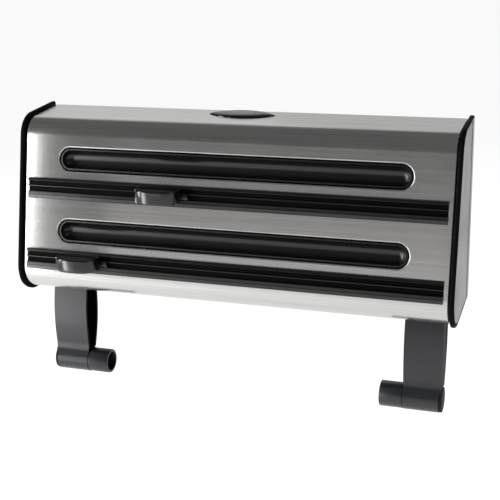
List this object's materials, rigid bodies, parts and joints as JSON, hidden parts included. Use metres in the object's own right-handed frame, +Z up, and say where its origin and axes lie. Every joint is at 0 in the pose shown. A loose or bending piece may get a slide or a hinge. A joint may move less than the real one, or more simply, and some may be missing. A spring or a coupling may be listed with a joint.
{
  "type": "wall roll dispenser",
  "caption": "Wall dispenser with a swinging steel cover, two film slots with sliding cutters, a push latch, and two sprung arms for a kitchen roll.",
  "frame": {"origin": "middle of the back plate's rear face, in the wall's plane", "axes": "+X along the housing to the viewer's right, +Y into the wall, +Z up"},
  "size_m": [0.385, 0.1021, 0.2457],
  "materials": {
    "black_plastic": "satin moulded",
    "dark_grey_plastic": "satin moulded",
    "gloss_black_plastic": "gloss",
    "brushed_steel": "brushed lengthwise",
    "spring_steel": "drawn",
    "silver_inlay": "satin silver"
  },
  "bodies": {
    "housing": {"back_plate": "black_plastic", "bottom_plate": "black_plastic", "left_cheek": "black_plastic", "right_cheek": "black_plastic", "left_cheek_panel": "silver_inlay", "right_cheek_panel": "silver_inlay", "upper_tray": "black_plastic", "lower_tray": "black_plastic", "left_arm_bracket": "dark_grey_plastic", "right_arm_bracket": "dark_grey_plastic", "left_hinge_pin": "spring_steel", "right_hinge_pin": "spring_steel", "latch_strike": "dark_grey_plastic", "left_arm_pin": "spring_steel", "right_arm_pin": "spring_steel", "left_arm_spring": "spring_steel", "right_arm_spring": "spring_steel"},
    "cover": {"cover_skin": "brushed_steel", "left_cover_end": "black_plastic", "right_cover_end": "black_plastic", "upper_trough": "black_plastic", "lower_trough": "black_plastic", "upper_rail": "black_plastic", "lower_rail": "black_plastic", "latch_seat": "dark_grey_plastic", "latch_spring": "spring_steel"},
    "latch": {"latch_button": "gloss_black_plastic", "latch_hook": "dark_grey_plastic"},
    "upper_cutter": {"upper_cutter_carriage": "black_plastic", "upper_cutter_knob": "dark_grey_plastic", "upper_cutter_blade": "spring_steel"},
    "lower_cutter": {"lower_cutter_carriage": "black_plastic", "lower_cutter_knob": "dark_grey_plastic", "lower_cutter_blade": "spring_steel"},
    "left_arm": {"left_arm": "dark_grey_plastic", "left_hub": "dark_grey_plastic", "left_hub_cap": "dark_grey_plastic"},
    "right_arm": {"right_arm": "dark_grey_plastic", "right_hub": "dark_grey_plastic", "right_hub_cap": "dark_grey_plastic"}
  },
  "joints": [
    {"name": "cover_swing", "type": "hinge", "parent": "housing", "child": "cover", "pos_m": [0, -0.0735, -0.0643], "axis": [1, 0, 0], "range_deg": [0, 75]},
    {"name": "latch_press", "type": "slide", "parent": "cover", "child": "latch", "axis": [0, 0.0678, -0.9977], "range_m": [0, 0.0025], "stiffness_N_per_m": 400, "springref_m": -0.003, "deforming": ["latch_spring"]},
    {"name": "upper_cutter_slide", "type": "slide", "parent": "cover", "child": "upper_cutter", "axis": [1, 0, 0], "range_m": [-0.0955, 0.2105]},
    {"name": "lower_cutter_slide", "type": "slide", "parent": "cover", "child": "lower_cutter", "axis": [1, 0, 0], "range_m": [-0.023, 0.283]},
    {"name": "left_arm_swing", "type": "hinge", "parent": "housing", "child": "left_arm", "pos_m": [-0.1635, -0.0355, -0.066], "axis": [0, 1, 0], "range_deg": [0, 16], "stiffness_Nm_per_rad": 0.5, "springref_deg": -6.88},
    {"name": "right_arm_swing", "type": "hinge", "parent": "housing", "child": "right_arm", "pos_m": [0.1635, -0.0355, -0.066], "axis": [0, -1, 0], "range_deg": [0, 16], "stiffness_Nm_per_rad": 0.5, "springref_deg": -6.88}
  ]
}
